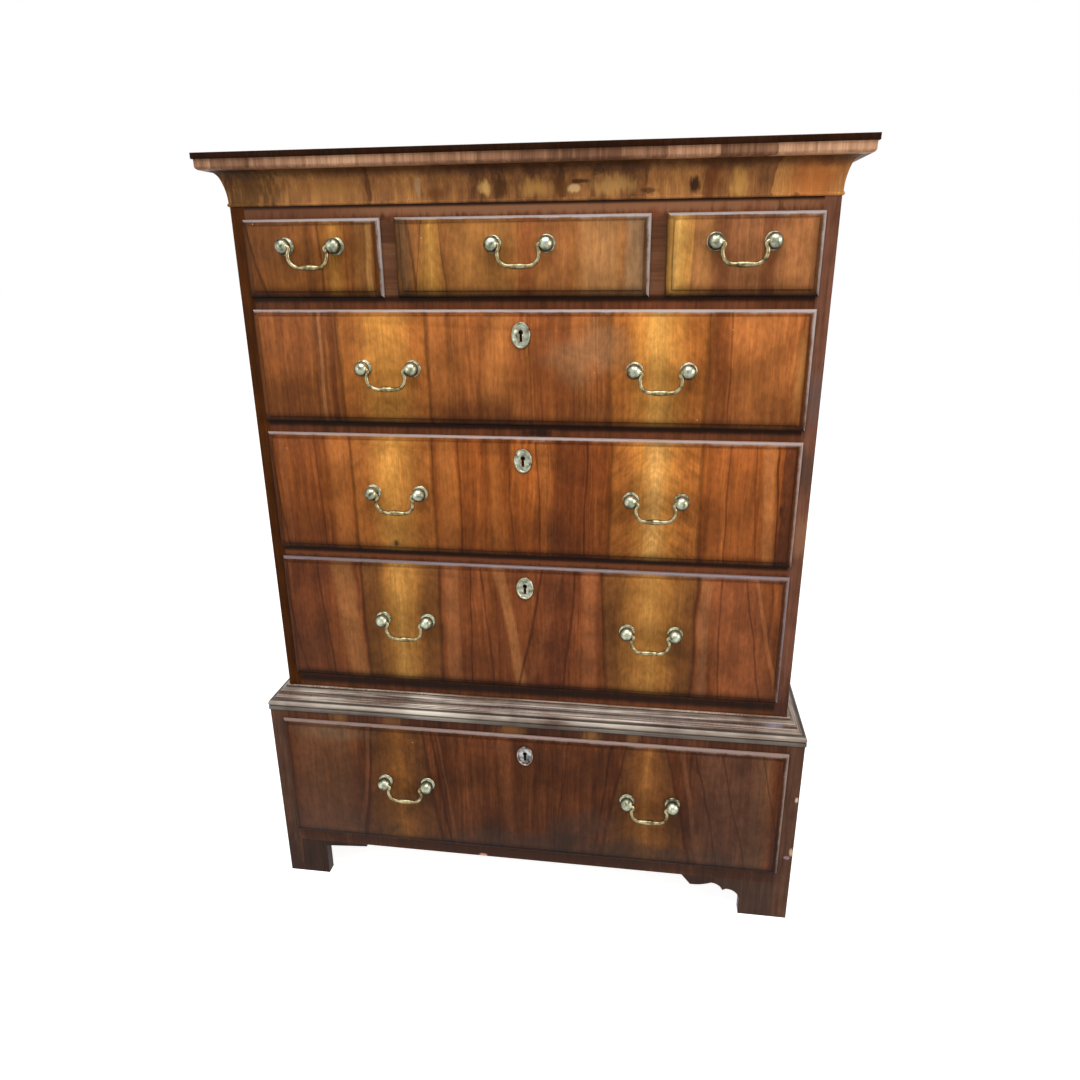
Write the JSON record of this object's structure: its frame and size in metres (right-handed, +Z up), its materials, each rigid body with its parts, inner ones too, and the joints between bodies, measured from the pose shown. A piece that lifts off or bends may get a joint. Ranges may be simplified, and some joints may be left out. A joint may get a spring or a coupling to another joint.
{
  "type": "chest on stand",
  "caption": "Veneered walnut chest of drawers on a low drawer stand with bracket feet, lipped drawers, brass bail handles, oval escutcheons, a moulded waist and a coved cornice.",
  "frame": {"origin": "on the floor, under the middle of the whole piece", "axes": "+Z up, -Y towards the front, +X to the right as seen from the front"},
  "size_m": [1.077, 0.5798, 1.447],
  "materials": {
    "walnut": "waxed veneer",
    "oak": "dry, planed",
    "pine": "dry, sawn and planed",
    "aged_brass": "worn, dull polish",
    "iron": "dark forged"
  },
  "bodies": {
    "stand": {"stand_side_left": "walnut", "stand_side_right": "walnut", "stand_back_board": "pine", "stand_top_board": "pine", "stand_front_rails": "walnut", "stand_drawer_runners": "pine", "waist_moulding": "walnut", "front_foot_left": "walnut", "front_foot_right": "walnut", "rear_feet_and_blocks": "pine"},
    "chest": {"chest_side_left": "walnut", "chest_side_right": "walnut", "chest_top_board": "pine", "chest_bottom_board": "pine", "chest_front_rails": "walnut", "chest_dustboards_and_guides": "pine", "short_drawer_muntins": "walnut", "chest_back_boards": "pine", "cornice_cove": "walnut", "cornice_fascia": "walnut"},
    "short_left_drawer": {"short_left_drawer_front": "walnut", "short_left_drawer_box": "oak", "short_left_brasses": "aged_brass"},
    "short_left_handle": {"short_left_bail": "aged_brass"},
    "short_middle_drawer": {"short_middle_drawer_front": "walnut", "short_middle_drawer_box": "oak", "short_middle_brasses": "aged_brass"},
    "short_middle_handle": {"short_middle_bail": "aged_brass"},
    "short_right_drawer": {"short_right_drawer_front": "walnut", "short_right_drawer_box": "oak", "short_right_brasses": "aged_brass"},
    "short_right_handle": {"short_right_bail": "aged_brass"},
    "upper_drawer": {"upper_drawer_front": "walnut", "upper_drawer_box": "oak", "upper_brasses": "aged_brass", "upper_lock": "iron"},
    "upper_left_handle": {"upper_left_bail": "aged_brass"},
    "upper_right_handle": {"upper_right_bail": "aged_brass"},
    "upper_bolt": {"upper_lock_bolt": "iron"},
    "middle_drawer": {"middle_drawer_front": "walnut", "middle_drawer_box": "oak", "middle_brasses": "aged_brass", "middle_lock": "iron"},
    "middle_left_handle": {"middle_left_bail": "aged_brass"},
    "middle_right_handle": {"middle_right_bail": "aged_brass"},
    "middle_bolt": {"middle_lock_bolt": "iron"},
    "lower_drawer": {"lower_drawer_front": "walnut", "lower_drawer_box": "oak", "lower_brasses": "aged_brass", "lower_lock": "iron"},
    "lower_left_handle": {"lower_left_bail": "aged_brass"},
    "lower_right_handle": {"lower_right_bail": "aged_brass"},
    "lower_bolt": {"lower_lock_bolt": "iron"},
    "stand_drawer": {"stand_drawer_front": "walnut", "stand_drawer_box": "oak", "stand_brasses": "aged_brass", "stand_lock": "iron"},
    "stand_left_handle": {"stand_left_bail": "aged_brass"},
    "stand_right_handle": {"stand_right_bail": "aged_brass"},
    "stand_bolt": {"stand_lock_bolt": "iron"}
  },
  "joints": [
    {"name": "chest_lift", "type": "slide", "parent": "stand", "child": "chest", "axis": [0, 0, 1], "range_m": [0, 0.08]},
    {"name": "short_left_drawer_slide", "type": "slide", "parent": "chest", "child": "short_left_drawer", "axis": [0, -1, 0], "range_m": [0, 0.4]},
    {"name": "short_left_bail_swing", "type": "hinge", "parent": "short_left_drawer", "child": "short_left_handle", "pos_m": [-0.35825, -0.2484, 1.30175], "axis": [-1, 0, 0], "range_deg": [-15, 110]},
    {"name": "short_middle_drawer_slide", "type": "slide", "parent": "chest", "child": "short_middle_drawer", "axis": [0, -1, 0], "range_m": [0, 0.4]},
    {"name": "short_middle_bail_swing", "type": "hinge", "parent": "short_middle_drawer", "child": "short_middle_handle", "pos_m": [0, -0.2484, 1.30175], "axis": [-1, 0, 0], "range_deg": [-15, 110]},
    {"name": "short_right_drawer_slide", "type": "slide", "parent": "chest", "child": "short_right_drawer", "axis": [0, -1, 0], "range_m": [0, 0.4]},
    {"name": "short_right_bail_swing", "type": "hinge", "parent": "short_right_drawer", "child": "short_right_handle", "pos_m": [0.35825, -0.2484, 1.30175], "axis": [-1, 0, 0], "range_deg": [-15, 110]},
    {"name": "upper_drawer_slide", "type": "slide", "parent": "chest", "child": "upper_drawer", "axis": [0, -1, 0], "range_m": [0, 0.4]},
    {"name": "upper_left_bail_swing", "type": "hinge", "parent": "upper_drawer", "child": "upper_left_handle", "pos_m": [-0.237, -0.2484, 1.09975], "axis": [-1, 0, 0], "range_deg": [-15, 110]},
    {"name": "upper_right_bail_swing", "type": "hinge", "parent": "upper_drawer", "child": "upper_right_handle", "pos_m": [0.237, -0.2484, 1.09975], "axis": [-1, 0, 0], "range_deg": [-15, 110]},
    {"name": "upper_bolt_throw", "type": "slide", "parent": "upper_drawer", "child": "upper_bolt", "axis": [0, 0, 1], "range_m": [0, 0.009]},
    {"name": "middle_drawer_slide", "type": "slide", "parent": "chest", "child": "middle_drawer", "axis": [0, -1, 0], "range_m": [0, 0.4]},
    {"name": "middle_left_bail_swing", "type": "hinge", "parent": "middle_drawer", "child": "middle_left_handle", "pos_m": [-0.237, -0.2484, 0.8735], "axis": [-1, 0, 0], "range_deg": [-15, 110]},
    {"name": "middle_right_bail_swing", "type": "hinge", "parent": "middle_drawer", "child": "middle_right_handle", "pos_m": [0.237, -0.2484, 0.8735], "axis": [-1, 0, 0], "range_deg": [-15, 110]},
    {"name": "middle_bolt_throw", "type": "slide", "parent": "middle_drawer", "child": "middle_bolt", "axis": [0, 0, 1], "range_m": [0, 0.009]},
    {"name": "lower_drawer_slide", "type": "slide", "parent": "chest", "child": "lower_drawer", "axis": [0, -1, 0], "range_m": [0, 0.4]},
    {"name": "lower_left_bail_swing", "type": "hinge", "parent": "lower_drawer", "child": "lower_left_handle", "pos_m": [-0.237, -0.2484, 0.6165], "axis": [-1, 0, 0], "range_deg": [-15, 110]},
    {"name": "lower_right_bail_swing", "type": "hinge", "parent": "lower_drawer", "child": "lower_right_handle", "pos_m": [0.237, -0.2484, 0.6165], "axis": [-1, 0, 0], "range_deg": [-15, 110]},
    {"name": "lower_bolt_throw", "type": "slide", "parent": "lower_drawer", "child": "lower_bolt", "axis": [0, 0, 1], "range_m": [0, 0.009]},
    {"name": "stand_drawer_slide", "type": "slide", "parent": "stand", "child": "stand_drawer", "axis": [0, -1, 0], "range_m": [0, 0.4]},
    {"name": "stand_left_bail_swing", "type": "hinge", "parent": "stand_drawer", "child": "stand_left_handle", "pos_m": [-0.248, -0.2814, 0.263], "axis": [-1, 0, 0], "range_deg": [-15, 110]},
    {"name": "stand_right_bail_swing", "type": "hinge", "parent": "stand_drawer", "child": "stand_right_handle", "pos_m": [0.248, -0.2814, 0.263], "axis": [-1, 0, 0], "range_deg": [-15, 110]},
    {"name": "stand_bolt_throw", "type": "slide", "parent": "stand_drawer", "child": "stand_bolt", "axis": [0, 0, 1], "range_m": [0, 0.009]}
  ]
}
